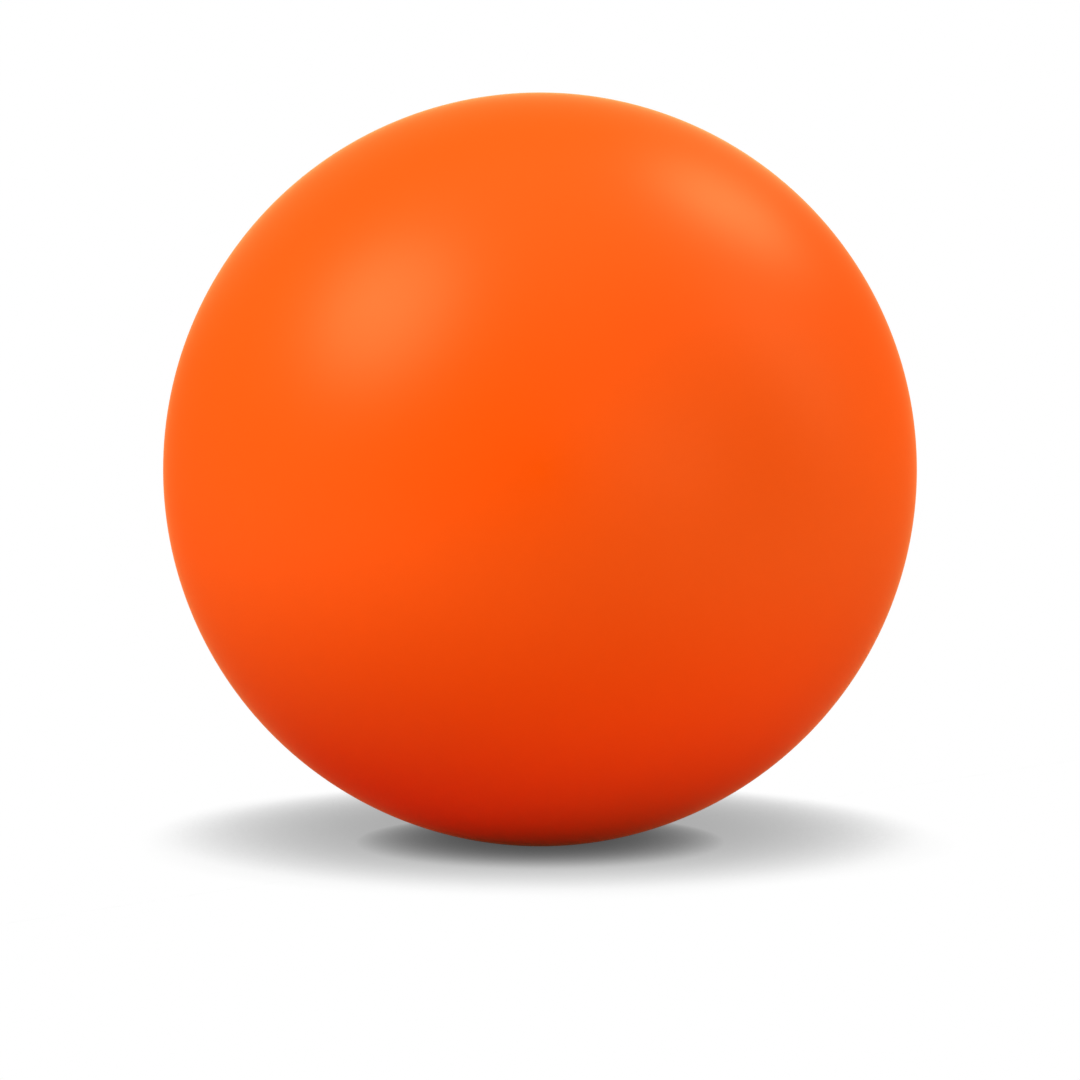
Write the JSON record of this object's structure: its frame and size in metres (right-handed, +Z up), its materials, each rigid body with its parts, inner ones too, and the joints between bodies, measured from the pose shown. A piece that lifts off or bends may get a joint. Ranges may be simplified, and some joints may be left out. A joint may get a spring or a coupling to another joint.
{
  "type": "indoor shot put",
  "caption": "Soft-cased indoor shot put: a seamless satin orange ball filled with steel shot and closed at the rear by a flush push-in filler plug.",
  "frame": {"origin": "the ball's centre", "axes": "+Z up as the ball stands, +Y out along the filler neck at the rear, +X to the right seen from the front"},
  "size_m": [0.128, 0.128, 0.128],
  "materials": {
    "casing": "satin soft plastic, orange",
    "plug": "satin soft plastic, orange",
    "foam": "matt grey foam",
    "steel": "bare steel, lightly oiled"
  },
  "bodies": {
    "ball": {"casing": "casing", "steel_shot": "steel"},
    "plug": {"filler_plug": "plug", "packing_pad": "foam"}
  },
  "joints": [
    {"name": "plug_pull", "type": "slide", "parent": "ball", "child": "plug", "axis": [0, 1, 0], "range_m": [0, 0.03]}
  ]
}
